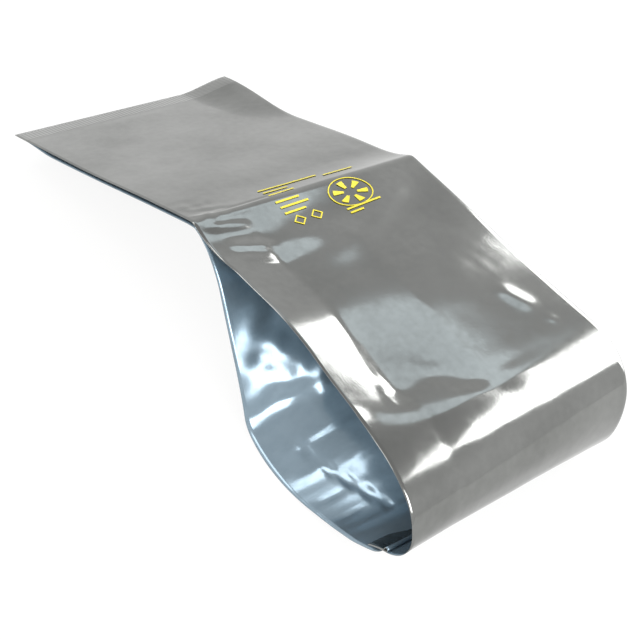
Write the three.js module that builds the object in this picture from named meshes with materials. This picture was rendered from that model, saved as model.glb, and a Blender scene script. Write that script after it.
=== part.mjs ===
import * as THREE from 'three';

// An open film pouch: one web of film, folded along its bottom and bonded down both sides.
// It is creased across near its middle, so that one half lies flat as a flap and the other
// half bells open into a loop. It lies as it comes to rest.

// Film and pouch sizes, in millimetres
const mouthWidth = 305; // along the mouth, from one side edge to the other
const pocketDepth = 102; // from the mouth to the folded bottom
const filmWall = 0.5; // wall of the solid; the film itself is thinner
const seamWidth = 9.5; // bonded band down each side
const foldGap = 1.1; // free space between the plies at the folded bottom
const flapLength = 134; // from the first side edge to the cross crease
const flapParting = 1.3; // free space between the plies at the mouth of the flap
const partingRun = 22; // length over which the plies part beside a seam

// Lip along the mouth: a narrow strip that bends away along a faint crease
const lipWidth = 22;
const lipFlare = 1.2;

// Far corner of the flap, which curls up
const curlHeight = 6.3;
const curlDraw = 6.5;
const curlReach = 60; // along the mouth direction
const curlDepth = 20; // in from the folded bottom

// Edge of the flap's end at the mouth, where the spines start: right of the origin and up
const flapStart = new THREE.Vector2(-242.9, 72.4);

// Headings of each spine in degrees from level, at places along it. A place from 0 to 1 is on
// the flap, 1 to 2 on the loop and 2 to 3 on the last side seam. Both spines start with the
// same heading over the first seam, so that its band is a true plane.
const frontNearHeadings = [
  [0, 2], [0.12, 2], [0.6, 4], [0.985, 3], [1.012, -38], [1.12, -17], [1.28, -13],
  [1.46, -29], [1.65, -21], [1.73, -40], [1.8, -53], [1.87, -90], [1.93, -123],
  [2, -172], [3, -160],
];
const frontFarHeadings = [
  [0, 2], [0.12, 2], [0.6, 3], [0.85, 1], [0.985, 16], [1.012, -19], [1.3, -19],
  [1.6, -17], [1.68, -24], [1.75, -56], [1.84, -93], [1.93, -114], [2, -140],
  [3, -158],
];
const backNearHeadings = [
  [1, 0], [1.01, -24], [1.075, -53], [1.155, -72], [1.37, -73], [1.445, -79],
  [1.495, -44], [1.57, -25], [1.65, -11], [1.74, -2], [1.85, -2], [1.93, 19],
  [1.98, 60], [2, -170], [3, -160],
];

// Fineness of the solid
const spineStep = 0.25;
const stationSpacing = 6.5;
const fineSpacing = 0.6;
const turnPerStation = 13; // degrees
const foldSegments = 4;

const loopLength = mouthWidth - flapLength - seamWidth;
const plySpacing = filmWall + foldGap;
const up = new THREE.Vector3(0, 0, 1);

// Smooth step from 0 to 1
function ease(t) {
  const c = THREE.MathUtils.clamp(t, 0, 1);
  return c * c * (3 - 2 * c);
}

// Distance along the mouth to a place on the flap, loop or last seam
function distanceTo(place) {
  if (place <= 1) return place * flapLength;
  if (place <= 2) return flapLength + (place - 1) * loopLength;
  return flapLength + loopLength + (place - 2) * seamWidth;
}

// Heading in degrees at a distance along the mouth
function headingAt(headings, distance) {
  let before = headings[0];
  for (const knot of headings) {
    const there = distanceTo(knot[0]);
    if (there >= distance) {
      const here = distanceTo(before[0]);
      const share = there > here ? (distance - here) / (there - here) : 0;
      return before[1] + (knot[1] - before[1]) * share;
    }
    before = knot;
  }
  return before[1];
}

// A spine keeps the film's true length: it is walked step by step along its headings
function walkSpine(headings, start, from) {
  const points = [start.clone()];
  const steps = Math.round((mouthWidth - from) / spineStep);
  const step = (mouthWidth - from) / steps;
  for (let i = 0; i < steps; i++) {
    const turn = THREE.MathUtils.degToRad(headingAt(headings, from + (i + 0.5) * step));
    const last = points[i];
    points.push(new THREE.Vector2(last.x + step * Math.cos(turn), last.y + step * Math.sin(turn)));
  }
  return (distance) => {
    const at = THREE.MathUtils.clamp((distance - from) / step, 0, steps);
    const i = Math.min(Math.floor(at), steps - 1);
    return points[i].clone().lerp(points[i + 1], at - i);
  };
}

// Unit vector square to a spine, towards the inside of the pouch
function inwardOf(spine, distance) {
  const reach = 0.5;
  const before = spine(Math.max(distance - reach, 0));
  const after = spine(Math.min(distance + reach, mouthWidth));
  const along = after.sub(before).normalize();
  return new THREE.Vector2(along.y, -along.x);
}

// Free space between the plies: none in the side seams, opening out beside them
function partingAt(distance, full) {
  const fromStart = ease((distance - seamWidth) / partingRun);
  const fromEnd = ease((mouthWidth - seamWidth - distance) / partingRun);
  return full * Math.min(fromStart, fromEnd);
}

const frontNear = walkSpine(frontNearHeadings, flapStart, 0);
const frontFar = walkSpine(frontFarHeadings, flapStart, 0);

function besideFrontNear(distance) {
  const spread = filmWall + partingAt(distance, flapParting);
  return frontNear(distance).addScaledVector(inwardOf(frontNear, distance), spread);
}

// The back ply follows the front on the flap, leaves it at the crease and comes back to it at
// the last seam. What its own headings miss there is spread over the loop.
const flapHold = flapLength - 4;
const backWalk = walkSpine(backNearHeadings, besideFrontNear(flapHold), flapHold);
const seamRoot = mouthWidth - seamWidth;
const missed = besideFrontNear(seamRoot).sub(backWalk(seamRoot));

function backNear(distance) {
  if (distance <= flapHold) return besideFrontNear(distance);
  if (distance >= seamRoot) return besideFrontNear(distance);
  const share = ease((distance - flapHold) / (seamRoot - flapHold));
  return backWalk(distance).addScaledVector(missed, share);
}

function backFar(distance) {
  const spread = filmWall + partingAt(distance, foldGap);
  return frontFar(distance).addScaledVector(inwardOf(frontFar, distance), spread);
}

// How much a point shares in the curl of the flap's far corner
function curlShare(distance, depth) {
  const alongMouth = ease(1 - distance / curlReach);
  const acrossDepth = ease((depth - pocketDepth + curlDepth) / curlDepth);
  return alongMouth * acrossDepth;
}

// Middle of a ply's wall at a distance along the mouth and a depth into the pocket
function plyPoint(near, far, distance, depth, flareSide) {
  const section = near(distance).lerp(far(distance), depth / pocketDepth);
  const curl = curlShare(distance, depth);
  const lip = 1 - Math.min(depth / lipWidth, 1);
  const open = partingAt(distance, 1) * ease((distance - flapLength) / partingRun);
  const flare = inwardOf(near, distance).multiplyScalar(-flareSide * lipFlare * lip * open);
  return new THREE.Vector3(
    section.x + curl * curlDraw + flare.x,
    depth,
    section.y + curl * curlHeight + flare.y,
  );
}

// The web runs from the front ply's mouth round the folded bottom to the back ply's mouth
const foldRadius = plySpacing / 2;
const straightDepth = pocketDepth - foldRadius;
const depths = [0, lipWidth / 2, lipWidth, lipWidth * 1.6];
for (let share = 0.52; share < 0.99; share += 0.16) depths.push(straightDepth * share);
depths.push(straightDepth);

function webRow(distance) {
  const row = depths.map((depth) => plyPoint(frontNear, frontFar, distance, depth, 1));
  const back = depths.map((depth) => plyPoint(backNear, backFar, distance, depth, -1));
  const top = row[row.length - 1];
  const bottom = back[back.length - 1];
  const middle = top.clone().add(bottom).multiplyScalar(0.5);
  const side = top.clone().sub(middle);
  for (let i = 1; i < foldSegments; i++) {
    const turn = (Math.PI * i) / foldSegments;
    const point = middle.clone().addScaledVector(side, Math.cos(turn));
    point.y += foldRadius * Math.sin(turn);
    row.push(point);
  }
  return row.concat(back.reverse());
}

// Rows along the mouth lie close together where a spine turns fast and wide apart elsewhere
function chooseDistances() {
  const chosen = [0];
  let turned = 0;
  const fixed = [seamWidth, seamWidth + 1, flapLength, seamRoot - 1, seamRoot, mouthWidth];
  const spines = [frontNearHeadings, frontFarHeadings, backNearHeadings];
  for (let at = spineStep; at <= mouthWidth + 1e-6; at += spineStep) {
    const last = chosen[chosen.length - 1];
    const turns = spines.map((s) => Math.abs(headingAt(s, at) - headingAt(s, at - spineStep)));
    turned += Math.max(...turns);
    const isFixed = fixed.some((f) => f > last + 1e-6 && f <= at + 1e-6);
    const spaced = at - last;
    const due = spaced >= stationSpacing || (turned >= turnPerStation && spaced >= fineSpacing);
    if (isFixed) chosen.push(fixed.find((f) => f > last + 1e-6 && f <= at + 1e-6));
    else if (due) chosen.push(at);
    else continue;
    turned = 0;
  }
  return chosen;
}

const distances = chooseDistances();
const rows = distances.map(webRow);
const columns = rows[0].length;

// Outward direction of the web at a grid point
function outwardAt(i, j) {
  const before = rows[Math.max(i - 1, 0)][j];
  const after = rows[Math.min(i + 1, rows.length - 1)][j];
  const left = rows[i][Math.max(j - 1, 0)];
  const right = rows[i][Math.min(j + 1, columns - 1)];
  const along = after.clone().sub(before);
  const across = right.clone().sub(left);
  return along.cross(across).normalize();
}

// One closed skin: the outer faces, the inner faces of the pocket, and the rims that join them
function buildPouch() {
  const vertices = [];
  const faces = [];
  const add = (point) => vertices.push(point) - 1;
  const quad = (a, b, c, d) => faces.push([a, b, c], [a, c, d]);
  const firstInner = distances.indexOf(seamWidth);
  const lastInner = distances.indexOf(seamRoot);

  const outer = rows.map((row, i) => row.map((point, j) => (
    add(point.clone().addScaledVector(outwardAt(i, j), filmWall / 2))
  )));
  const inner = rows.map((row, i) => {
    if (i < firstInner || i > lastInner) return null;
    const atSeam = i === firstInner || i === lastInner;
    const line = row.map((point, j) => {
      if (!atSeam) return add(point.clone().addScaledVector(outwardAt(i, j), -filmWall / 2));
      if (j > (columns - 1) / 2) return -1;
      return add(point.clone().add(row[columns - 1 - j]).multiplyScalar(0.5));
    });
    return line.map((index, j) => (index < 0 ? line[columns - 1 - j] : index));
  });

  for (let i = 0; i + 1 < rows.length; i++) {
    for (let j = 0; j + 1 < columns; j++) {
      quad(outer[i][j], outer[i + 1][j], outer[i + 1][j + 1], outer[i][j + 1]);
      if (i < firstInner || i >= lastInner) continue;
      quad(inner[i][j], inner[i][j + 1], inner[i + 1][j + 1], inner[i + 1][j]);
    }
  }

  // Side edges: the front ply's outer face meets the back ply's over the bonded thickness
  const lastColumn = columns - 1;
  const middle = lastColumn / 2;
  for (let j = 0; j < middle; j++) {
    const mirror = lastColumn - j;
    quad(outer[0][j], outer[0][j + 1], outer[0][mirror - 1], outer[0][mirror]);
    const end = outer[rows.length - 1];
    quad(end[j], end[mirror], end[mirror - 1], end[j + 1]);
  }

  // Mouth rims
  for (let i = 0; i + 1 < rows.length; i++) {
    const o = outer[i];
    const next = outer[i + 1];
    if (i < firstInner || i >= lastInner) {
      quad(o[0], o[lastColumn], next[lastColumn], next[0]);
      continue;
    }
    quad(o[0], inner[i][0], inner[i + 1][0], next[0]);
    quad(o[lastColumn], next[lastColumn], inner[i + 1][lastColumn], inner[i][lastColumn]);
  }
  for (const i of [firstInner, lastInner]) {
    const ends = [outer[i][0], outer[i][lastColumn]];
    if (i === firstInner) faces.push([ends[0], ends[1], inner[i][0]]);
    else faces.push([ends[0], inner[i][0], ends[1]]);
  }
  const solid = faces.filter(([a, b, c]) => a !== b && b !== c && a !== c);
  return { vertices, faces: solid };
}

// The plane that the pouch rests on, found from three places near its contacts: while a point
// lies below the plane, it takes the place of the contact nearest to it
function findRest(vertices, seeds) {
  let contacts = seeds.slice();
  let plane = new THREE.Plane();
  const centre = vertices.reduce((sum, v) => sum.add(v), new THREE.Vector3());
  centre.divideScalar(vertices.length);
  for (let round = 0; round < 200; round++) {
    plane = new THREE.Plane().setFromCoplanarPoints(...contacts);
    if (plane.distanceToPoint(centre) < 0) plane.negate();
    let lowest = null;
    let depth = -1e-7;
    for (const vertex of vertices) {
      const height = plane.distanceToPoint(vertex);
      if (height < depth) {
        depth = height;
        lowest = vertex;
      }
    }
    if (!lowest) break;
    const gaps = contacts.map((contact) => contact.distanceTo(lowest));
    contacts[gaps.indexOf(Math.min(...gaps))] = lowest;
  }
  return plane;
}

const pouch = buildPouch();
const midRow = rows[distances.findIndex((d) => d >= flapLength + loopLength * 0.66)];
const bendRow = rows[distances.findIndex((d) => d >= flapLength + loopLength * 0.9)];
const seeds = [rows[0][(columns - 1) / 2], midRow[columns - 1], bendRow[(columns - 1) / 2]];
const restPlane = findRest(pouch.vertices, seeds);

const geometry = new THREE.BufferGeometry();
const positions = pouch.vertices.flatMap((v) => [v.x, v.y, v.z]);
geometry.setAttribute('position', new THREE.Float32BufferAttribute(positions, 3));
geometry.setIndex(pouch.faces.flat());
geometry.computeVertexNormals();

const metallisedFilm = new THREE.MeshStandardMaterial({
  color: 0x8e908c,
  roughness: 0.28,
  metalness: 0.85,
});

const bag = new THREE.Mesh(geometry, metallisedFilm);
bag.name = 'shielding_bag';
bag.quaternion.setFromUnitVectors(restPlane.normal, up);

// The origin is under the middle of the pouch, on the surface that it rests on
const turned = geometry.clone().applyQuaternion(bag.quaternion);
turned.computeBoundingBox();
const box = turned.boundingBox;
bag.position.set(-(box.min.x + box.max.x) / 2, -(box.min.y + box.max.y) / 2, -box.min.z);

const group = new THREE.Group();
group.add(bag);
export default group;
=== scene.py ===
import logging
import math
from dataclasses import dataclass, field
from enum import Enum

import bmesh
import bpy
import numpy as np
from mathutils import Matrix, Vector


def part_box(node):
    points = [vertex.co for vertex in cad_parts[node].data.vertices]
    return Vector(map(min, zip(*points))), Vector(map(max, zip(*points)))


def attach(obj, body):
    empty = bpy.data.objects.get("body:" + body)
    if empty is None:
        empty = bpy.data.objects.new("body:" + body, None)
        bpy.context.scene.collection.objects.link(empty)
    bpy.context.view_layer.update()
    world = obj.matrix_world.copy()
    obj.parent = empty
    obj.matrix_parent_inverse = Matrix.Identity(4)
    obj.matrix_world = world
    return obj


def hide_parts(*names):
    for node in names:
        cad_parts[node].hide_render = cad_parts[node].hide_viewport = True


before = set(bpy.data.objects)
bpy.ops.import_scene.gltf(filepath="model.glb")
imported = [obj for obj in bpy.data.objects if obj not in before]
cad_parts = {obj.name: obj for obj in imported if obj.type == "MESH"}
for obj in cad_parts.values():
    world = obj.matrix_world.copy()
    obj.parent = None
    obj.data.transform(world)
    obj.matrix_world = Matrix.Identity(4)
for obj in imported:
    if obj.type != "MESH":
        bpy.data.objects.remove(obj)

log = logging.getLogger("pouch")

MM = 0.001
Heading = tuple[float, float]
Spot = tuple[float, float]


class Ply(Enum):
    """One of the two plies of the pouch."""

    FRONT = "front"
    BACK = "back"


class Reach(Enum):
    """How the end of a crease dies away."""

    SOFT = "soft"
    FULL = "full"


def ease(share: np.ndarray) -> np.ndarray:
    """Smooth step from 0 to 1 over the share's 0 to 1.

    Args:
        share: how far along the step each place is.

    Returns:
        The smoothed step, held at 0 and 1 outside it.
    """
    held = np.clip(share, 0, 1)
    return held * held * (3 - 2 * held)


@dataclass(frozen=True)
class BagSizes:
    """Sizes of the flat pouch and of the shape it lies in, in millimetres."""

    mouth_width: float = 305.0
    pocket_depth: float = 102.0
    film_wall: float = 0.14
    seam_width: float = 9.5
    fold_gap: float = 1.1
    flap_length: float = 134.0
    flap_parting: float = 1.5
    parting_run: float = 22.0
    lip_width: float = 22.0
    lip_flare: float = 1.2
    curl_height: float = 6.3
    curl_draw: float = 6.5
    curl_reach: float = 60.0
    curl_depth: float = 20.0
    flap_hold: float = 4.0
    spine_step: float = 0.25
    flap_start: Spot = (-242.9, 72.4)

    @property
    def loop_length(self) -> float:
        """Length of film between the cross crease and the last seam."""
        return self.mouth_width - self.flap_length - self.seam_width

    @property
    def seam_root(self) -> float:
        """Distance along the mouth at which the last seam begins."""
        return self.mouth_width - self.seam_width


# Headings are degrees of slope at places along the mouth: 0 to 1 along the
# flap, 1 to 2 round the loop and 2 to 3 across the last seam.
FRONT_NEAR: tuple[Heading, ...] = (
    (0, 2), (0.12, 2), (0.6, 4), (0.985, 3), (1.012, -38), (1.12, -17), (1.28, -13), (1.46, -29),
    (1.65, -21), (1.73, -40), (1.8, -53), (1.87, -90), (1.93, -123), (2, -172), (3, -160),
)
FRONT_FAR: tuple[Heading, ...] = (
    (0, 2), (0.12, 2), (0.6, 3), (0.85, 1), (0.985, 16), (1.012, -19), (1.3, -19), (1.6, -17),
    (1.68, -24), (1.75, -56), (1.84, -93), (1.93, -114), (2, -140), (3, -158),
)
BACK_NEAR: tuple[Heading, ...] = (
    (1, 0), (1.01, -24), (1.075, -53), (1.155, -72), (1.37, -73), (1.445, -79), (1.495, -44), (1.57, -25),
    (1.65, -11), (1.74, -2), (1.85, -2), (1.93, 19), (1.98, 60), (2, -170), (3, -160),
)


class Spine:
    """One edge of a ply, walked along its headings so that it neither stretches nor shrinks."""

    def __init__(
        self, sizes: BagSizes, headings: tuple[Heading, ...], start: np.ndarray, begin: float
    ) -> None:
        """Walk the edge.

        Args:
            sizes: the pouch's sizes.
            headings: slopes at places along the mouth.
            start: where the walk starts, across and up.
            begin: the distance along the mouth at the start.
        """
        self.sizes = sizes
        places = np.array([self.distance(place) for place, _ in headings])
        angles = np.array([angle for _, angle in headings], dtype=float)
        count = int(round((sizes.mouth_width - begin) / sizes.spine_step))
        step = (sizes.mouth_width - begin) / count
        middles = begin + (np.arange(count) + 0.5) * step
        slopes = np.radians(np.interp(middles, places, angles))
        self.marks = begin + np.arange(count + 1) * step
        self.across = start[0] + np.concatenate([[0.0], np.cumsum(np.cos(slopes) * step)])
        self.up = start[1] + np.concatenate([[0.0], np.cumsum(np.sin(slopes) * step)])

    def distance(self, place: float) -> float:
        """Turn a place into a distance along the mouth.

        Args:
            place: 0 to 1 on the flap, 1 to 2 on the loop, 2 to 3 on the last seam.

        Returns:
            Millimetres along the mouth.
        """
        if place <= 1:
            return place * self.sizes.flap_length
        if place <= 2:
            return self.sizes.flap_length + (place - 1) * self.sizes.loop_length
        return self.sizes.seam_root + (place - 2) * self.sizes.seam_width

    def at(self, along: np.ndarray) -> np.ndarray:
        """Points across and up for distances along the mouth.

        Args:
            along: distances in millimetres.

        Returns:
            One pair for each distance.
        """
        across = np.interp(along, self.marks, self.across)
        up = np.interp(along, self.marks, self.up)
        return np.stack([across, up], -1)

    def inward(self, along: np.ndarray) -> np.ndarray:
        """Unit directions towards the pouch's inside.

        Args:
            along: distances in millimetres.

        Returns:
            One pair for each distance.
        """
        half = 2 * self.sizes.spine_step
        ahead = self.at(np.minimum(along + half, self.sizes.mouth_width))
        behind = self.at(np.maximum(along - half, 0))
        chord = ahead - behind
        chord = chord / np.linalg.norm(chord, axis=-1, keepdims=True)
        return np.stack([chord[..., 1], -chord[..., 0]], -1)


class PouchForm:
    """The lying pouch without its wrinkles: two ruled plies between mouth edges and the folded bottom."""

    def __init__(self, sizes: BagSizes) -> None:
        """Walk the edges of both plies.

        Args:
            sizes: the pouch's sizes.
        """
        self.sizes = sizes
        start = np.array(sizes.flap_start)
        self.near = Spine(sizes, FRONT_NEAR, start, 0.0)
        self.far = Spine(sizes, FRONT_FAR, start, 0.0)
        self.hold = sizes.flap_length - sizes.flap_hold
        self.back_walk = Spine(sizes, BACK_NEAR, self.beside_near(np.array([self.hold]))[0], self.hold)
        root = np.array([sizes.seam_root])
        self.missed = self.beside_near(root)[0] - self.back_walk.at(root)[0]

    def parting(self, along: np.ndarray, full: float) -> np.ndarray:
        """Gap between the plies, closed at both side seams.

        Args:
            along: distances along the mouth.
            full: the gap away from the seams.

        Returns:
            The gap at each distance.
        """
        sizes = self.sizes
        first = ease((along - sizes.seam_width) / sizes.parting_run)
        last = ease((sizes.seam_root - along) / sizes.parting_run)
        return full * np.minimum(first, last)

    def beside_near(self, along: np.ndarray) -> np.ndarray:
        """The back ply's mouth edge where it lies against the front ply."""
        gap = self.sizes.film_wall + self.parting(along, self.sizes.flap_parting)
        return self.near.at(along) + self.near.inward(along) * gap[..., None]

    def back_near(self, along: np.ndarray) -> np.ndarray:
        """The back ply's mouth edge, open round the loop.

        Args:
            along: distances along the mouth.

        Returns:
            Points across and up.
        """
        share = ease((along - self.hold) / (self.sizes.seam_root - self.hold))
        walked = self.back_walk.at(along) + self.missed * share[..., None]
        laid = (along <= self.hold) | (along >= self.sizes.seam_root)
        return np.where(laid[..., None], self.beside_near(along), walked)

    def back_far(self, along: np.ndarray) -> np.ndarray:
        """The back ply's edge at the folded bottom."""
        gap = self.sizes.film_wall + self.parting(along, self.sizes.fold_gap)
        return self.far.at(along) + self.far.inward(along) * gap[..., None]

    def point(self, along: np.ndarray, deep: np.ndarray, ply: Ply) -> np.ndarray:
        """Points of a ply before the bag is laid to rest.

        Args:
            along: distances along the mouth.
            deep: distances from the mouth towards the folded bottom.
            ply: the front or the back ply.

        Returns:
            Points in millimetres.
        """
        sizes = self.sizes
        if ply is Ply.BACK:
            near, far, out = self.back_near(along), self.back_far(along), 1.0
        else:
            near, far, out = self.near.at(along), self.far.at(along), -1.0
        share = (deep / sizes.pocket_depth)[..., None]
        section = near * (1 - share) + far * share
        curl = ease(1 - along / sizes.curl_reach) * ease(
            (deep - sizes.pocket_depth + sizes.curl_depth) / sizes.curl_depth
        )
        lip = 1 - np.minimum(deep / sizes.lip_width, 1)
        opened = self.parting(along, 1.0) * ease((along - sizes.flap_length) / sizes.parting_run)
        flare = self.near.inward(along) * (out * sizes.lip_flare * lip * opened)[..., None]
        return np.stack(
            [
                section[..., 0] + curl * sizes.curl_draw + flare[..., 0],
                deep + 0 * along,
                section[..., 1] + curl * sizes.curl_height + flare[..., 1],
            ],
            -1,
        )


@dataclass(frozen=True)
class RestPose:
    """The turn about a level axis that lays the pouch on its three points of contact."""

    lean: float = 20.437
    axis_bearing: float = -114.15

    def turn(self) -> Matrix:
        """Find the turn.

        Returns:
            Its rotation matrix.
        """
        bearing = math.radians(self.axis_bearing)
        axis = Vector((math.cos(bearing), math.sin(bearing), 0.0))
        return Matrix.Rotation(math.radians(self.lean), 3, axis)

    def laid(self, points: np.ndarray) -> np.ndarray:
        """Turn points into the lying pose.

        Args:
            points: points before the turn.

        Returns:
            The same points after it.
        """
        return points @ np.array(self.turn()).T


@dataclass(frozen=True)
class Crease:
    """A soft ridge or valley along a short line of the film, in film millimetres."""

    start: Spot
    end: Spot
    height: float
    width: float
    reach: Reach = Reach.SOFT
    taper: float = 3.0

    def lift(self, along: np.ndarray, deep: np.ndarray) -> np.ndarray:
        """Height that the crease adds.

        Args:
            along: distances along the mouth.
            deep: distances from the mouth.

        Returns:
            Millimetres outwards at each place.
        """
        run = np.array(self.end) - np.array(self.start)
        length = float(np.hypot(*run))
        unit = run / length
        ahead = (along - self.start[0]) * unit[0] + (deep - self.start[1]) * unit[1]
        aside = (along - self.start[0]) * -unit[1] + (deep - self.start[1]) * unit[0]
        share = ahead / length
        if self.reach is Reach.SOFT:
            held = ease(share * self.taper) * ease((1 - share) * self.taper)
        else:
            held = ease(1 + ahead / self.width) * ease(1 + (length - ahead) / self.width)
        return self.height * np.exp(-((aside / self.width) ** 2)) * held


@dataclass(frozen=True)
class Undulation:
    """Gentle waves in mixed directions, over the whole ply or a patch of it."""

    size: float
    height: float
    seed: int
    middle: Spot = (152.5, 51.0)
    half_size: Spot = (400.0, 400.0)
    stretch: float = 1.0
    waves: int = 9
    spread: tuple[float, float] = (0.6, 1.4)

    def lift(self, along: np.ndarray, deep: np.ndarray) -> np.ndarray:
        """Height that the waves add.

        Args:
            along: distances along the mouth.
            deep: distances from the mouth.

        Returns:
            Millimetres outwards at each place.
        """
        chance = np.random.default_rng(self.seed)
        beside = along - self.middle[0]
        below = deep - self.middle[1]
        fade = np.exp(-((beside / self.half_size[0]) ** 2) - (below / self.half_size[1]) ** 2)
        total = np.zeros_like(fade)
        for _ in range(self.waves):
            bearing = chance.uniform(0, math.pi)
            count = chance.uniform(*self.spread) / self.size
            ahead = beside * math.cos(bearing) + below * math.sin(bearing) / self.stretch
            total += np.sin(2 * math.pi * count * ahead + chance.uniform(0, 2 * math.pi))
        return self.height * fade * total / math.sqrt(self.waves / 2)


@dataclass(frozen=True)
class LipFacet:
    """The creased strip along the front mouth edge, where it stands a little further out."""

    start: float = 152.0
    end: float = 239.0
    onset: float = 12.0
    edge_height: float = 1.1
    valley_height: float = -1.5
    valley_depth: float = 20.0
    settled_depth: float = 52.0

    def lift(self, along: np.ndarray, deep: np.ndarray) -> np.ndarray:
        """Height that the strip adds.

        Args:
            along: distances along the mouth.
            deep: distances from the mouth.

        Returns:
            Millimetres outwards at each place.
        """
        held = ease((along - self.start) / self.onset) * ease((self.end - along) / self.onset)
        depths = (0.0, self.valley_depth, self.settled_depth)
        return held * np.interp(deep, depths, (self.edge_height, self.valley_height, 0.0))


@dataclass(frozen=True)
class BendCrown:
    """The crown that the front ply keeps over its lower bend, drawn in at the mouth edge."""

    start: float = 236.0
    end: float = 282.0
    onset: float = 9.0
    edge_height: float = -1.0
    crown_height: float = 0.7
    crown_depth: float = 36.0
    bottom_depth: float = 98.0

    def lift(self, along: np.ndarray, deep: np.ndarray) -> np.ndarray:
        """Height that the crown adds.

        Args:
            along: distances along the mouth.
            deep: distances from the mouth.

        Returns:
            Millimetres outwards at each place.
        """
        held = ease((along - self.start) / self.onset) * ease((self.end - along) / self.onset)
        rise = np.sin(np.clip(deep / self.crown_depth, 0, 1) * math.pi / 2)
        fall = ease((self.bottom_depth - deep) / (self.bottom_depth - self.crown_depth))
        return held * (self.edge_height + (self.crown_height - self.edge_height) * rise) * fall


Mark = Crease | Undulation | LipFacet | BendCrown

# Wrinkles of each ply, listed in the bag's flat millimetres.
FRONT_MARKS: tuple[Mark, ...] = (
    LipFacet(),
    BendCrown(),
    Undulation(58, 0.07, 11),
    Undulation(19, 0.012, 5),
    Undulation(8, 0.014, 7, (186, 87), (30, 8)),
    Undulation(7, 0.08, 4, (127, 8), (10, 9)),
    Crease((137, 20.5), (190, 19.8), -0.10, 0.9),
    Crease((190, 19.8), (232, 14.5), -0.12, 1.0),
    Crease((137.5, 1), (142.5, 23), 0.52, 2.4),
    Crease((147.5, 4), (154.5, 25), 0.62, 2.8),
    Crease((155.5, 6), (160, 22), 0.25, 1.8),
    Crease((124, 1), (131.5, 20), -0.18, 1.0),
    Crease((129, 0), (132.5, 13), 0.22, 1.3),
    Crease((131.6, 8), (131.6, 50), -0.20, 0.9),
    Crease((214, 20), (252, 62), -0.25, 5.0),
    Crease((176, 30), (136, 99), 0.95, 8.0),
    Crease((206, 82), (224, 89), 0.34, 3.2),
    Crease((227, 88), (231, 92), 0.16, 1.6),
    Crease((221, 17.5), (236, 14.5), 0.26, 1.7),
    Crease((181, 7.6), (186, 10), 0.12, 1.2),
)
BACK_MARKS: tuple[Mark, ...] = (
    Crease((222, 10.5), (268, 17.8), 0.5, 0.7, Reach.FULL),
    Crease((229, 1), (226, 34), -0.45, 2.6),
    Crease((237, 2), (235, 24), 0.22, 1.4),
    Crease((243, 18), (240, 52), -0.30, 1.8),
    Crease((251, 1), (250.5, 13), 0.26, 1.5),
    Crease((256, 18), (254, 46), -0.22, 1.3),
    Crease((262, 1), (261.5, 14), 0.24, 1.2),
    Crease((270, 2), (268, 36), -0.24, 1.6),
    Crease((213, 26), (222, 62), 0.60, 6.0),
    Undulation(15, 0.30, 8, (193, 18), (22, 20)),
    Undulation(34, 0.20, 9),
    Undulation(12, 0.10, 6, (245, 30), (45, 60), 7.0),
    Crease((190, 8), (208, 36), -1.6, 9.0),
    Crease((184, 8), (206, 21), 0.5, 3.0),
)


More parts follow.
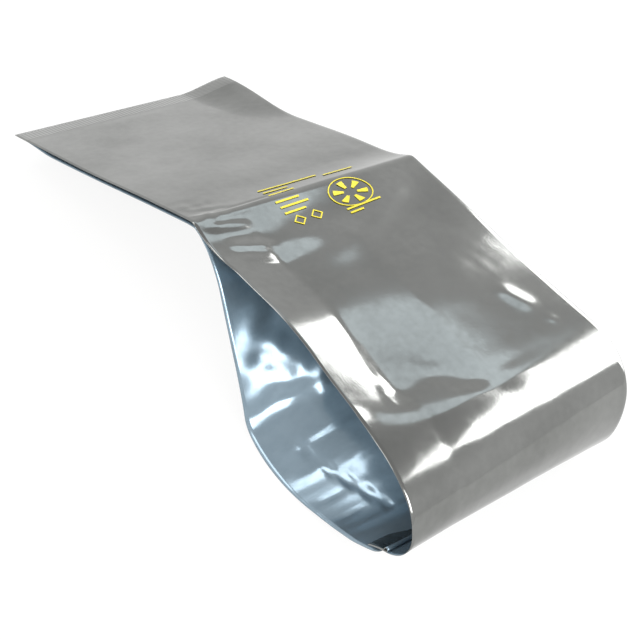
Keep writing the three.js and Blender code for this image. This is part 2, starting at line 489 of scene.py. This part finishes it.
class FilmSkin:
    """The pouch's surface with its wrinkles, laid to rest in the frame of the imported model."""

    normal_reach: float = 0.4
    span_samples: int = 611
    depth_samples: int = 52
    seam_fade: float = 6.0
    flap_fade: float = 10.0

    def __init__(self, sizes: BagSizes, pose: RestPose, node: str) -> None:
        """Fit the form over its node.

        Args:
            sizes: the pouch's sizes.
            pose: the lying pose.
            node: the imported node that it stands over.
        """
        self.sizes = sizes
        self.form = PouchForm(sizes)
        self.pose = pose
        along, deep = np.meshgrid(
            np.linspace(0, sizes.mouth_width, self.span_samples),
            np.linspace(0, sizes.pocket_depth, self.depth_samples),
            indexing="ij",
        )
        whole = np.concatenate([pose.laid(self.form.point(along, deep, ply)).reshape(-1, 3) for ply in Ply])
        low, high = (np.array(corner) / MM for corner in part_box(node))
        self.shift = (low + high) / 2 - (whole.min(0) + whole.max(0)) / 2

    def laid(self, along: np.ndarray, deep: np.ndarray, ply: Ply) -> np.ndarray:
        """Plain points of a ply at rest, in millimetres of the frame."""
        return self.pose.laid(self.form.point(along, deep, ply)) + self.shift

    def outward(self, along: np.ndarray, deep: np.ndarray, ply: Ply) -> np.ndarray:
        """Unit directions out of a ply's outer face.

        Args:
            along: distances along the mouth.
            deep: distances from the mouth.
            ply: the front or the back ply.

        Returns:
            Unit directions.
        """
        reach = self.normal_reach
        top = self.sizes.mouth_width
        ahead = self.laid(np.minimum(along + reach, top), deep, ply)
        behind = self.laid(np.maximum(along - reach, 0), deep, ply)
        first = ahead - behind
        second = self.laid(along, deep + reach, ply) - self.laid(along, deep - reach, ply)
        out = np.cross(first, second)
        out /= np.linalg.norm(out, axis=-1, keepdims=True)
        return out if ply is Ply.FRONT else -out

    def relief(self, along: np.ndarray, deep: np.ndarray, ply: Ply) -> np.ndarray:
        """Height of the wrinkles.

        Args:
            along: distances along the mouth.
            deep: distances from the mouth.
            ply: the front or the back ply.

        Returns:
            Millimetres outwards at each place.
        """
        marks = FRONT_MARKS if ply is Ply.FRONT else BACK_MARKS
        raised = sum((mark.lift(along, deep) for mark in marks), np.zeros_like(along))
        past_first = ease((along - self.sizes.seam_width) / self.seam_fade)
        before_last = ease((self.sizes.seam_root - along) / self.seam_fade)
        free = past_first * before_last
        if ply is Ply.BACK:
            free = free * ease((along - self.sizes.flap_length) / self.flap_fade)
        return raised * free

    def place(self, along: np.ndarray, deep: np.ndarray, ply: Ply, lift: float = 0.0) -> np.ndarray:
        """Points of the wrinkled skin in metres of the frame.

        Args:
            along: distances along the mouth.
            deep: distances from the mouth.
            ply: the front or the back ply.
            lift: extra millimetres out of the outer face.

        Returns:
            Points in metres.
        """
        raised = self.relief(along, deep, ply) + lift
        return (self.laid(along, deep, ply) + self.outward(along, deep, ply) * raised[..., None]) * MM


def linear(hex_colour: str) -> tuple[float, float, float, float]:
    """Turn an sRGB hex colour into linear values.

    Args:
        hex_colour: six hex digits.

    Returns:
        Linear red, green, blue and an alpha of 1.
    """
    parts = [int(hex_colour[start : start + 2], 16) / 255 for start in (0, 2, 4)]
    red, green, blue = (
        part / 12.92 if part <= 0.04045 else ((part + 0.055) / 1.055) ** 2.4 for part in parts
    )
    return red, green, blue, 1.0


def add_node(
    tree: bpy.types.NodeTree, kind: str, settings: dict | None = None, links: dict | None = None
) -> bpy.types.Node:
    """Add a shader node with its settings and links.

    Args:
        tree: the node tree.
        kind: the node's type name.
        settings: attributes, or input values where the name is an input's.
        links: input names to output sockets.

    Returns:
        The new node.
    """
    node = tree.nodes.new(kind)
    for name, value in (settings or {}).items():
        if name in node.inputs:
            node.inputs[name].default_value = value
        else:
            setattr(node, name, value)
    for name, socket in (links or {}).items():
        tree.links.new(socket, node.inputs[name])
    return node


@dataclass(frozen=True)
class MetallisedFilm:
    """Polyester film with a vacuum-laid aluminium layer, heat sealed at both ends of the pouch."""

    name: str
    metal: str
    worn: str
    roughness: float
    metallic: float
    sharper: float = 0.04
    softer: float = 0.05
    web_span: float = 305.0
    seam_width: float = 9.5
    haze_size: float = 34.0
    mottle_size: float = 3.2
    crinkle_size: float = 11.0
    grain_size: float = 0.9
    seal_rib: float = 1.6
    wave_span: float = 0.314
    seal_lighter: float = 0.05
    seal_blur: float = 0.001
    mottle_in_gloss: float = 0.45
    mottle_in_wear: float = 0.25
    noise_low: float = 0.35
    noise_high: float = 0.65
    crinkle_bump: tuple[float, float] = (0.04, 0.0004)
    grain_bump: tuple[float, float] = (0.05, 0.00008)
    rib_bump: tuple[float, float] = (0.5, 0.00012)

    def build(self) -> bpy.types.Material:
        """Make the material.

        Returns:
            The material, on the film's own flat map.
        """
        material = bpy.data.materials.new(self.name)
        material.use_nodes = True
        tree = material.node_tree
        shader = tree.nodes["Principled BSDF"]
        # A vacuum-laid metal mirror under clear film: a grey mirror with soft
        # haze, a fine mottle that breaks up its highlights, and ribbed seals.
        shader.inputs["Metallic"].default_value = self.metallic
        flat_map = add_node(tree, "ShaderNodeUVMap", {"uv_map": "film"}).outputs["UV"]
        haze = self.noise(tree, flat_map, self.haze_size, 3.0)
        mottle = self.noise(tree, flat_map, self.mottle_size, 4.0)
        seal = self.seal_share(tree, flat_map)
        self.colour(tree, shader, haze, mottle, seal)
        both = add_node(tree, "ShaderNodeMix", {"Factor": self.mottle_in_gloss}, {"A": haze, "B": mottle})
        gloss = add_node(
            tree,
            "ShaderNodeMapRange",
            {
                "From Min": self.noise_low,
                "From Max": self.noise_high,
                "To Min": self.roughness - self.sharper,
                "To Max": self.roughness + self.softer,
            },
            {"Value": both.outputs["Result"]},
        )
        tree.links.new(gloss.outputs["Result"], shader.inputs["Roughness"])
        self.relief(tree, shader, flat_map, seal)
        return material

    def noise(
        self, tree: bpy.types.NodeTree, flat_map: bpy.types.NodeSocket, size: float, detail: float
    ) -> bpy.types.NodeSocket:
        """Add a cloudy pattern.

        Args:
            tree: the node tree.
            flat_map: the film's flat map.
            size: the clouds' size in millimetres.
            detail: how many finer layers it has.

        Returns:
            The pattern's value.
        """
        clouds = add_node(
            tree,
            "ShaderNodeTexNoise",
            {"Scale": self.web_span / size, "Detail": detail},
            {"Vector": flat_map},
        )
        return clouds.outputs["Fac"]

    def seal_share(self, tree: bpy.types.NodeTree, flat_map: bpy.types.NodeSocket) -> bpy.types.NodeSocket:
        """Find the heat sealed bands.

        Args:
            tree: the node tree.
            flat_map: the film's flat map.

        Returns:
            A value that is 1 on both bands and 0 between them.
        """
        parts = add_node(tree, "ShaderNodeSeparateXYZ", {}, {"Vector": flat_map})
        centred = add_node(tree, "ShaderNodeMath", {"operation": "SUBTRACT"})
        tree.links.new(parts.outputs["X"], centred.inputs[0])
        centred.inputs[1].default_value = 0.5
        outward = add_node(tree, "ShaderNodeMath", {"operation": "ABSOLUTE"})
        tree.links.new(centred.outputs[0], outward.inputs[0])
        edge = 0.5 - self.seam_width / self.web_span
        band = add_node(
            tree,
            "ShaderNodeMapRange",
            {"From Min": edge - self.seal_blur, "From Max": edge + self.seal_blur},
            {"Value": outward.outputs[0]},
        )
        return band.outputs["Result"]

    def colour(
        self,
        tree: bpy.types.NodeTree,
        shader: bpy.types.Node,
        haze: bpy.types.NodeSocket,
        mottle: bpy.types.NodeSocket,
        seal: bpy.types.NodeSocket,
    ) -> None:
        """Mix the metal's colour from clean and worn.

        Args:
            tree: the node tree.
            shader: the surface shader.
            haze: the wide pattern.
            mottle: the fine pattern.
            seal: the sealed bands.
        """
        wear = add_node(tree, "ShaderNodeMix", {"Factor": self.mottle_in_wear}, {"A": haze, "B": mottle})
        spread = add_node(
            tree,
            "ShaderNodeMapRange",
            {"From Min": self.noise_low, "From Max": self.noise_high},
            {"Value": wear.outputs["Result"]},
        )
        plain = add_node(tree, "ShaderNodeMix", {"data_type": "RGBA"}, {"Factor": spread.outputs["Result"]})
        plain.inputs["A"].default_value = linear(self.metal)
        plain.inputs["B"].default_value = linear(self.worn)
        # The sealed bands are pressed flat, so they are a little lighter.
        sealed = add_node(tree, "ShaderNodeMix", {"data_type": "RGBA", "blend_type": "ADD"})
        weight = add_node(tree, "ShaderNodeMath", {"operation": "MULTIPLY"})
        tree.links.new(seal, weight.inputs[0])
        weight.inputs[1].default_value = self.seal_lighter
        tree.links.new(weight.outputs[0], sealed.inputs["Factor"])
        tree.links.new(plain.outputs["Result"], sealed.inputs["A"])
        sealed.inputs["B"].default_value = linear("FFFFFF")
        tree.links.new(sealed.outputs["Result"], shader.inputs["Base Color"])

    def relief(
        self,
        tree: bpy.types.NodeTree,
        shader: bpy.types.Node,
        flat_map: bpy.types.NodeSocket,
        seal: bpy.types.NodeSocket,
    ) -> None:
        """Add the fine relief: shallow crinkles, grain and the seals' ribs.

        Args:
            tree: the node tree.
            shader: the surface shader.
            flat_map: the film's flat map.
            seal: the sealed bands.
        """
        crinkle = self.noise(tree, flat_map, self.crinkle_size, 2.0)
        grain = self.noise(tree, flat_map, self.grain_size, 1.0)
        # A band wave repeats each wave_span of the map, divided by its scale.
        ribs = add_node(
            tree,
            "ShaderNodeTexWave",
            {"Scale": self.wave_span * self.web_span / self.seal_rib, "bands_direction": "Y"},
            {"Vector": flat_map},
        )
        pressed = add_node(tree, "ShaderNodeMath", {"operation": "MULTIPLY"})
        tree.links.new(ribs.outputs["Fac"], pressed.inputs[0])
        tree.links.new(seal, pressed.inputs[1])
        normal = None
        for height, size in (
            (crinkle, self.crinkle_bump),
            (grain, self.grain_bump),
            (pressed.outputs[0], self.rib_bump),
        ):
            below = {} if normal is None else {"Normal": normal}
            bump = add_node(
                tree,
                "ShaderNodeBump",
                {"Strength": size[0], "Distance": size[1]},
                {"Height": height} | below,
            )
            normal = bump.outputs["Normal"]
        tree.links.new(normal, shader.inputs["Normal"])


@dataclass(frozen=True)
class PrintInk:
    """Solvent ink laid on the film by a printing roller."""

    name: str = "flexo_print_ink_yellow"
    colour: str = "CDBE22"
    thin: str = "BFB22E"
    blotch_size: float = 1.2
    sheen: float = 0.45

    def build(self) -> bpy.types.Material:
        """Make the material.

        Returns:
            The ink material.
        """
        material = bpy.data.materials.new(self.name)
        material.use_nodes = True
        tree = material.node_tree
        shader = tree.nodes["Principled BSDF"]
        # Thin flat ink: a clear yellow, a little patchy, with a soft sheen.
        shader.inputs["Roughness"].default_value = self.sheen
        where = add_node(tree, "ShaderNodeTexCoord")
        blotch = add_node(
            tree,
            "ShaderNodeTexNoise",
            {"Scale": 1 / (self.blotch_size * MM), "Detail": 2.0},
            {"Vector": where.outputs["Object"]},
        )
        tint = add_node(tree, "ShaderNodeMix", {"data_type": "RGBA"}, {"Factor": blotch.outputs["Fac"]})
        tint.inputs["A"].default_value = linear(self.colour)
        tint.inputs["B"].default_value = linear(self.thin)
        tree.links.new(tint.outputs["Result"], shader.inputs["Base Color"])
        return material


def deselect_all() -> None:
    """Deselect every object, so that an operator acts on the new piece alone."""
    bpy.ops.object.select_all(action="DESELECT")


@dataclass
class FilmPouch:
    """The whole pouch: one web of film folded at the bottom and sealed at both ends."""

    skin: FilmSkin
    row_spacing: float = 1.45
    station_spacing: float = 1.3
    fine_spacing: float = 0.55
    fold_rows: int = 4
    seam_margin: tuple[float, float] = (1.0, 3.0)
    crease_margin: float = 5.0
    root_margin: float = 12.0
    piece: bpy.types.Object | None = field(default=None, init=False)

    def stations(self) -> np.ndarray:
        """Distances along the mouth, closer together at the cross crease and the seams.

        Returns:
            Rising distances.
        """
        sizes = self.skin.sizes
        fine = (
            (sizes.seam_width - self.seam_margin[0], sizes.seam_width + self.seam_margin[1]),
            (sizes.flap_length - self.crease_margin, sizes.flap_length + self.crease_margin),
            (sizes.seam_root - self.root_margin, sizes.mouth_width),
        )
        edges = [0.0]
        for start, end in fine:
            edges.extend((start, end))
        edges.append(sizes.mouth_width)
        marks = [0.0]
        for index, (start, end) in enumerate(zip(edges[:-1], edges[1:])):
            spacing = self.fine_spacing if index % 2 else self.station_spacing
            count = max(1, int(round((end - start) / spacing)))
            if end > start:
                marks.extend(start + (end - start) * (step + 1) / count for step in range(count))
        return np.array(marks)

    def build(self) -> bpy.types.Object:
        """Make the film as one web without a wall.

        Returns:
            The film piece.
        """
        sizes = self.skin.sizes
        marks = self.stations()
        depth_rows = int(round(sizes.pocket_depth / self.row_spacing))
        depths = np.linspace(0, sizes.pocket_depth, depth_rows + 1)
        turns = np.linspace(0, math.pi, self.fold_rows + 2)[1:-1]
        rows = 2 * len(depths) + len(turns)
        deselect_all()
        bpy.ops.mesh.primitive_grid_add(x_subdivisions=len(marks) - 1, y_subdivisions=rows - 1, size=1.0)
        piece = bpy.context.object
        piece.name = "film_pouch"
        mesh = piece.data
        flat = np.empty(len(mesh.vertices) * 3)
        mesh.vertices.foreach_get("co", flat)
        flat = flat.reshape(-1, 3)
        column = np.rint((flat[:, 0] + 0.5) * (len(marks) - 1)).astype(int)
        row = np.rint((flat[:, 1] + 0.5) * (rows - 1)).astype(int)
        web = self.web_points(marks, depths, turns)
        mesh.vertices.foreach_set("co", web[column, row].reshape(-1))
        self.lay_flat_map(mesh, marks, depths, rows, column, row)
        mesh.update()
        bpy.ops.object.shade_smooth()
        self.piece = piece
        return piece

    def web_points(self, marks: np.ndarray, depths: np.ndarray, turns: np.ndarray) -> np.ndarray:
        """Points of the web from the front mouth edge round the bottom to the back one.

        Args:
            marks: distances along the mouth.
            depths: distances from the mouth.
            turns: angles round the folded bottom.

        Returns:
            Points by station and row, in metres.
        """
        along, deep = np.meshgrid(marks, depths, indexing="ij")
        front = self.skin.place(along, deep, Ply.FRONT)
        back = self.skin.place(along, deep, Ply.BACK)
        first = front[:, -1]
        last = back[:, -1]
        middle = (first + last) / 2
        half = (first - last) / 2
        run = front[:, -1] - front[:, -3]
        run /= np.linalg.norm(run, axis=-1, keepdims=True)
        radius = np.linalg.norm(half, axis=-1, keepdims=True)
        bend = [middle + half * math.cos(turn) + run * radius * math.sin(turn) for turn in turns]
        return np.concatenate([front, np.stack(bend, 1), back[:, ::-1]], 1)

    def lay_flat_map(
        self,
        mesh: bpy.types.Mesh,
        marks: np.ndarray,
        depths: np.ndarray,
        rows: int,
        column: np.ndarray,
        row: np.ndarray,
    ) -> None:
        """Give the film a map of its flat web, one unit for the web's width.

        Args:
            mesh: the film's mesh.
            marks: distances along the mouth.
            depths: distances from the mouth.
            rows: how many rows of points the web has.
            column: each point's station.
            row: each point's row.
        """
        sizes = self.skin.sizes
        bottom = np.full(rows - 2 * len(depths), sizes.pocket_depth)
        laid = np.concatenate([depths, bottom, 2 * sizes.pocket_depth - depths[::-1]])
        layer = mesh.uv_layers[0]
        layer.name = "film"
        corner = np.empty(len(mesh.loops), dtype=np.int32)
        mesh.loops.foreach_get("vertex_index", corner)
        spread = np.stack([marks[column[corner]], laid[row[corner]]], -1) / sizes.mouth_width
        layer.data.foreach_set("uv", spread.reshape(-1))

    def dress(self, outer: bpy.types.Material, inner: bpy.types.Material) -> None:
        """Give the film its wall, with a finish for each face.

        Args:
            outer: the outer face's material.
            inner: the inner face's material.
        """
        self.piece.data.materials.append(outer)
        self.piece.data.materials.append(inner)
        wall = self.piece.modifiers.new("film_wall", "SOLIDIFY")
        wall.thickness = self.skin.sizes.film_wall * MM
        wall.offset = 0.0
        wall.material_offset = 1
        deselect_all()
        self.piece.select_set(True)
        bpy.context.view_layer.objects.active = self.piece
        bpy.ops.object.modifier_apply(modifier=wall.name)


@dataclass
class PrintedMarks:
    """Plain generic print on the front ply: bars, a ring with solid sectors and two outlined squares."""

    skin: FilmSkin
    ink_lift: float = 0.26
    ink_wall: float = 0.06
    bar_height: float = 0.9
    ring_middle: Spot = (142.4, 65.2)
    ring_half: Spot = (7.6, 9.3)
    ring_line: float = 0.5
    ring_points: int = 73
    sector_count: int = 6
    sector_span: float = 24.0
    sector_points: int = 6
    sector_inner: float = 0.3
    sector_outer: float = 0.78
    bars: tuple[tuple[float, float, float], ...] = (
        (124.2, 35.0, 62.0),
        (126.2, 64.0, 78.0),
        (127.6, 35.0, 46.0),
        (131.0, 35.0, 46.5),
        (136.2, 34.5, 45.0),
        (139.0, 35.0, 47.5),
        (142.0, 35.0, 44.5),
        (149.6, 58.0, 73.5),
        (151.9, 58.0, 64.0),
    )
    squares: tuple[Spot, ...] = ((147.2, 38.6), (147.2, 46.2))
    square_half: float = 2.7
    square_line: float = 0.5
    square_points: int = 17
    piece: bpy.types.Object | None = field(default=None, init=False)

    def build(self) -> bpy.types.Object:
        """Draw the marks flat and lay them on the film.

        Returns:
            The print as one piece.
        """
        flat = bmesh.new()
        for along, start, end in self.bars:
            self.add_bar(flat, (along, start), (along + self.bar_height, end))
        self.add_ring(flat)
        for middle in self.squares:
            self.add_square(flat, middle)
        mesh = bpy.data.meshes.new("printed_marks")
        bmesh.ops.recalc_face_normals(flat, faces=flat.faces)
        flat.to_mesh(mesh)
        flat.free()
        piece = bpy.data.objects.new("printed_marks", mesh)
        bpy.context.collection.objects.link(piece)
        points = np.empty(len(mesh.vertices) * 3)
        mesh.vertices.foreach_get("co", points)
        points = points.reshape(-1, 3)
        laid = self.skin.place(points[:, 0], points[:, 1], Ply.FRONT, self.ink_lift)
        mesh.vertices.foreach_set("co", laid.reshape(-1))
        mesh.update()
        deselect_all()
        piece.select_set(True)
        bpy.context.view_layer.objects.active = piece
        wall = piece.modifiers.new("ink_wall", "SOLIDIFY")
        wall.thickness = self.ink_wall * MM
        wall.offset = -1.0
        bpy.ops.object.modifier_apply(modifier=wall.name)
        self.piece = piece
        return piece

    def add_patch(self, flat: bmesh.types.BMesh, corners: np.ndarray) -> None:
        """Add a strip of faces between rows of points.

        Args:
            flat: the flat drawing.
            corners: points by row and column.
        """
        made = [[flat.verts.new((float(x), float(y), 0.0)) for x, y in line] for line in corners]
        for one, two in zip(made[:-1], made[1:]):
            for index in range(len(one) - 1):
                flat.faces.new((one[index], one[index + 1], two[index + 1], two[index]))

    def add_bar(self, flat: bmesh.types.BMesh, low: Spot, high: Spot) -> None:
        """Add a plain bar.

        Args:
            flat: the flat drawing.
            low: its lowest corner.
            high: its highest corner.
        """
        across = np.linspace(low[0], high[0], max(2, int(high[0] - low[0]) + 2))
        down = np.linspace(low[1], high[1], max(2, int(high[1] - low[1]) + 2))
        self.add_patch(flat, np.array([[(a, d) for d in down] for a in across]))

    def add_ring(self, flat: bmesh.types.BMesh) -> None:
        """Add the ring and its six solid sectors.

        Args:
            flat: the flat drawing.
        """
        turns = np.radians(np.linspace(0, 360, self.ring_points))
        self.add_arc(flat, turns, 1 - self.ring_line / self.ring_half[1], 1.0, 2)
        for start in range(0, 360, 360 // self.sector_count):
            span = np.radians(np.linspace(start, start + self.sector_span, self.sector_points))
            self.add_arc(flat, span, self.sector_inner, self.sector_outer, self.sector_points - 1)

    def add_arc(
        self, flat: bmesh.types.BMesh, turns: np.ndarray, inner: float, outer: float, lines: int
    ) -> None:
        """Add a part of a ring.

        Args:
            flat: the flat drawing.
            turns: angles round the ring.
            inner: the inner radius as a share of the ring's.
            outer: the outer radius as a share of the ring's.
            lines: how many lines of points lie across it.
        """
        shares = np.linspace(inner, outer, lines)
        points = [
            [
                (
                    self.ring_middle[0] + self.ring_half[0] * share * math.cos(turn),
                    self.ring_middle[1] + self.ring_half[1] * share * math.sin(turn),
                )
                for turn in turns
            ]
            for share in shares
        ]
        self.add_patch(flat, np.array(points))

    def add_square(self, flat: bmesh.types.BMesh, middle: Spot) -> None:
        """Add a small outlined square stood on its corner.

        Args:
            flat: the flat drawing.
            middle: its middle.
        """
        corners = np.array([(1, 0), (0, 1), (-1, 0), (0, -1), (1, 0)], dtype=float)
        steps = np.linspace(0, 4, self.square_points)
        places = np.interp(steps, range(5), corners[:, 0])
        depths = np.interp(steps, range(5), corners[:, 1])
        ring = np.stack([places, depths], -1)
        inner = self.square_half - self.square_line * math.sqrt(2)
        centre = np.array(middle)
        self.add_patch(flat, np.array([centre + ring * inner, centre + ring * self.square_half]))

    def dress(self, ink: bpy.types.Material) -> None:
        """Give the marks their ink."""
        self.piece.data.materials.append(ink)


@dataclass(frozen=True)
class Softbox:
    """A rectangular lamp that faces the pouch.

    Attributes:
        name: the lamp's name.
        azimuth: its bearing from the pouch, in degrees.
        elevation: its height above the floor, in degrees.
        distance: metres from the pouch.
        size: its width and height in metres.
        power: watts.
        tint: its colour.
    """

    name: str
    azimuth: float
    elevation: float
    distance: float
    size: tuple[float, float]
    power: float
    tint: str = "FFFFFF"

    def build(self) -> None:
        """Make the lamp and turn it to the pouch."""
        lamp = bpy.data.lights.new(self.name, "AREA")
        lamp.shape = "RECTANGLE"
        lamp.size, lamp.size_y = self.size
        lamp.energy = self.power
        lamp.color = linear(self.tint)[:3]
        holder = bpy.data.objects.new(self.name, lamp)
        bpy.context.collection.objects.link(holder)
        turn, rise = math.radians(self.azimuth), math.radians(self.elevation)
        level = math.cos(rise)
        away = Vector((math.cos(turn) * level, math.sin(turn) * level, math.sin(rise)))
        holder.location = away * self.distance
        holder.rotation_euler = away.to_track_quat("Z", "Y").to_euler()


# Each lamp stands where its reflection falls on a bright part of the film.
SOFTBOXES: tuple[Softbox, ...] = (
    Softbox("window_softbox", 76.0, 27.8, 1.5, (1.27, 1.26), 26.0),
    Softbox("side_softbox", 106.0, 22.0, 1.74, (0.68, 0.66), 8.0),
    Softbox("sky_panel", 134.0, 51.0, 1.5, (0.9, 0.36), 1.3, "DCECF5"),
    Softbox("far_softbox", 252.0, 30.0, 1.6, (1.3, 0.8), 9.0),
    Softbox("streak_lamp", 203.0, 50.0, 1.5, (0.28, 0.5), 1.6),
    Softbox("mouth_softbox", -18.0, 36.0, 1.2, (0.6, 0.6), 8.0),
)


@dataclass
class Studio:
    """Plain pale floor, white surroundings and soft lamps."""

    floor_half: float = 12.0
    surround_light: float = 0.85
    overhead: float = 0.6
    floor_glow: float = 0.85
    floor_drop: float = 0.0004
    floor_roughness: float = 0.9
    grey_from: float = 0.35

    def build(self) -> None:
        """Make the floor, the surroundings and the lamps."""
        self.build_floor()
        self.build_surroundings()
        for softbox in SOFTBOXES:
            softbox.build()

    def build_floor(self) -> None:
        """Make the pale floor that keeps the pouch's shadow."""
        deselect_all()
        below = (0.0, 0.0, -self.floor_drop)
        bpy.ops.mesh.primitive_plane_add(size=2 * self.floor_half, location=below)
        floor = bpy.context.object
        floor.name = "studio_floor"
        material = bpy.data.materials.new("pale_floor")
        material.use_nodes = True
        tree = material.node_tree
        shader = tree.nodes["Principled BSDF"]
        shader.inputs["Base Color"].default_value = linear("F4F4F2")
        shader.inputs["Roughness"].default_value = self.floor_roughness
        path = add_node(tree, "ShaderNodeLightPath")
        seen = self.seen_share(tree, path)
        glow = add_node(tree, "ShaderNodeEmission", {"Strength": 1.0})
        share = add_node(tree, "ShaderNodeMath", {"operation": "MULTIPLY"})
        tree.links.new(seen, share.inputs[0])
        share.inputs[1].default_value = self.floor_glow
        mix = add_node(tree, "ShaderNodeMixShader", {}, {"Fac": share.outputs[0]})
        tree.links.new(shader.outputs[0], mix.inputs[1])
        tree.links.new(glow.outputs[0], mix.inputs[2])
        tree.links.new(mix.outputs[0], tree.nodes["Material Output"].inputs["Surface"])
        floor.data.materials.append(material)

    def seen_share(self, tree: bpy.types.NodeTree, path: bpy.types.Node) -> bpy.types.NodeSocket:
        """Camera, glossy and transmission rays, added and held to 1.

        Args:
            tree: the node tree.
            path: its Light Path node.

        Returns:
            The socket that is 1 for those rays.
        """
        first = add_node(tree, "ShaderNodeMath", {"operation": "ADD"})
        tree.links.new(path.outputs["Is Camera Ray"], first.inputs[0])
        tree.links.new(path.outputs["Is Glossy Ray"], first.inputs[1])
        second = add_node(tree, "ShaderNodeMath", {"operation": "ADD", "use_clamp": True})
        tree.links.new(first.outputs[0], second.inputs[0])
        tree.links.new(path.outputs["Is Transmission Ray"], second.inputs[1])
        return second.outputs[0]

    def build_surroundings(self) -> None:
        """Make the white surroundings, a little under white as a light."""
        world = bpy.data.worlds.new("white_surroundings")
        bpy.context.scene.world = world
        world.use_nodes = True
        tree = world.node_tree
        tree.nodes.clear()
        path = add_node(tree, "ShaderNodeLightPath")
        seen = self.seen_share(tree, path)
        # The surroundings are white up to eye level and a little greyer overhead.
        way = add_node(tree, "ShaderNodeTexCoord")
        parts = add_node(tree, "ShaderNodeSeparateXYZ", {}, {"Vector": way.outputs["Generated"]})
        height = add_node(
            tree,
            "ShaderNodeMapRange",
            {
                "From Min": self.grey_from,
                "From Max": 1.0,
                "To Min": 1.0,
                "To Max": self.overhead,
                "interpolation_type": "SMOOTHSTEP",
            },
            {"Value": parts.outputs["Z"]},
        )
        plain = add_node(tree, "ShaderNodeBackground", {"Strength": self.surround_light})
        white = add_node(tree, "ShaderNodeBackground", {}, {"Strength": height.outputs["Result"]})
        for background in (plain, white):
            background.inputs["Color"].default_value = linear("FFFFFF")
        mix = add_node(tree, "ShaderNodeMixShader", {}, {"Fac": seen})
        tree.links.new(plain.outputs[0], mix.inputs[1])
        tree.links.new(white.outputs[0], mix.inputs[2])
        out = add_node(tree, "ShaderNodeOutputWorld")
        tree.links.new(mix.outputs[0], out.inputs["Surface"])


@dataclass(frozen=True)
class CameraView:
    """The camera, placed against the pouch before it is laid to rest and turned with it."""

    position: tuple[float, float, float] = (284.9, -252.1, 286.3)
    heading: float = 141.9
    downward: float = 27.81
    lens: float = 81.56

    def build(self, skin: FilmSkin) -> bpy.types.Object:
        """Make the scene's camera.

        Args:
            skin: the pouch that it looks at.

        Returns:
            The camera.
        """
        turn, drop = math.radians(self.heading), math.radians(self.downward)
        level = math.cos(drop)
        forward = Vector((math.cos(turn) * level, math.sin(turn) * level, -math.sin(drop)))
        right = Vector((math.sin(turn), -math.cos(turn), 0.0))
        upward = right.cross(forward)
        facing = skin.pose.turn() @ Matrix((right, upward, -forward)).transposed()
        data = bpy.data.cameras.new("photo_view")
        data.lens = self.lens
        camera = bpy.data.objects.new("photo_view", data)
        bpy.context.collection.objects.link(camera)
        stand = (skin.pose.laid(np.array([self.position]))[0] + skin.shift) * MM
        camera.matrix_world = Matrix.Translation(Vector(stand)) @ facing.to_4x4()
        bpy.context.scene.camera = camera
        return camera


def main() -> None:
    logging.basicConfig(level=logging.INFO, format="%(message)s")
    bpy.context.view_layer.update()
    sizes = BagSizes()
    skin = FilmSkin(sizes, RestPose(), "shielding_bag")
    CameraView().build(skin)

    pouch = FilmPouch(skin)
    film = pouch.build()
    outer = MetallisedFilm("metallised_polyester_outer", "8D8E8C", "7C7D7B", roughness=0.11, metallic=1.0)
    # The inner face's blue-grey colours hold painted shade: their blue tint stands for the bluish shade
    # inside the pouch.
    inner = MetallisedFilm("metallised_polyester_inner", "90A2AE", "788A96", roughness=0.17, metallic=0.65)
    pouch.dress(outer.build(), inner.build())
    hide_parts("shielding_bag")
    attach(film, "root")
    log.info("film_pouch: %d faces", len(film.data.polygons))

    marks = PrintedMarks(skin)
    print_piece = marks.build()
    marks.dress(PrintInk().build())
    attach(print_piece, "root")
    log.info("printed_marks: %d faces", len(print_piece.data.polygons))

    Studio().build()

    bpy.context.scene.view_settings.view_transform = "Standard"


if __name__ == "__main__":
    main()
